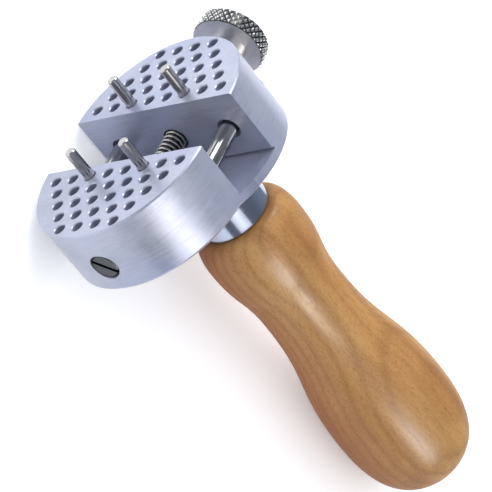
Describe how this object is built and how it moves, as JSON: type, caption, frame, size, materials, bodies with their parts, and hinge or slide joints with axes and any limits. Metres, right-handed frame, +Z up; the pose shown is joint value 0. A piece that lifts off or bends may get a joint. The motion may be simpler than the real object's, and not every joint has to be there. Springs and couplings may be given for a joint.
{
  "type": "hand pin vise",
  "caption": "Round split head drilled for loose pins, with a screw-closed sliding jaw on guide rods, a knurled knob and a turned wooden handle, for holding small work.",
  "frame": {"origin": "under the middle of the tool's bounding box, at the level that the head's rim rests on", "axes": "+X along the handle's axis, from the working face towards the handle's end; +Y along the clamp screw towards the knob; +Z up, along the slot between the jaws, with the tool lying on its side"},
  "size_m": [0.1714, 0.0948, 0.06],
  "materials": {
    "head_aluminium": "satin",
    "rod_steel": "ground",
    "pin_steel": "ground",
    "spring_steel": "drawn wire",
    "black_steel": "black oxide",
    "knob_nickel": "nickel plated",
    "ferrule_chrome": "polished",
    "handle_wood": "varnished"
  },
  "bodies": {
    "handle_and_fixed_jaw": {"fixed_jaw": "head_aluminium", "ferrule": "ferrule_chrome", "handle_stud": "rod_steel", "wooden_handle": "handle_wood", "thrust_washer": "rod_steel", "opening_spring": "spring_steel"},
    "moving_jaw_carriage": {"moving_jaw": "head_aluminium", "guide_rod_lower": "rod_steel", "guide_rod_upper": "rod_steel", "clamp_screw": "black_steel"},
    "knob": {"clamp_knob": "knob_nickel"},
    "fixed_pin_a": {"fixed_pin_lower": "pin_steel"},
    "fixed_pin_b": {"fixed_pin_upper": "pin_steel"},
    "moving_pin_a": {"moving_pin_lower": "pin_steel"},
    "moving_pin_b": {"moving_pin_upper": "pin_steel"}
  },
  "joints": [
    {"name": "knob_turn", "type": "hinge", "parent": "handle_and_fixed_jaw", "child": "knob", "pos_m": [-0.06305, 0.04349, 0.03], "axis": [0, -1, 0], "range_deg": [0, 9180.1]},
    {"name": "jaw_slide", "type": "slide", "parent": "handle_and_fixed_jaw", "child": "moving_jaw_carriage", "axis": [0, 1, 0], "range_m": [0, 0.0204], "deforming": ["opening_spring"]},
    {"name": "fixed_pin_a_pull", "type": "slide", "parent": "handle_and_fixed_jaw", "child": "fixed_pin_a", "axis": [-1, 0, 0], "range_m": [0, 0.0078]},
    {"name": "fixed_pin_b_pull", "type": "slide", "parent": "handle_and_fixed_jaw", "child": "fixed_pin_b", "axis": [-1, 0, 0], "range_m": [0, 0.0078]},
    {"name": "moving_pin_a_pull", "type": "slide", "parent": "moving_jaw_carriage", "child": "moving_pin_a", "axis": [-1, 0, 0], "range_m": [0, 0.0078]},
    {"name": "moving_pin_b_pull", "type": "slide", "parent": "moving_jaw_carriage", "child": "moving_pin_b", "axis": [-1, 0, 0], "range_m": [0, 0.0078]}
  ],
  "couplings": [
    {"joint": "knob_turn", "follows": "jaw_slide", "rad_per_m": 7854}
  ]
}
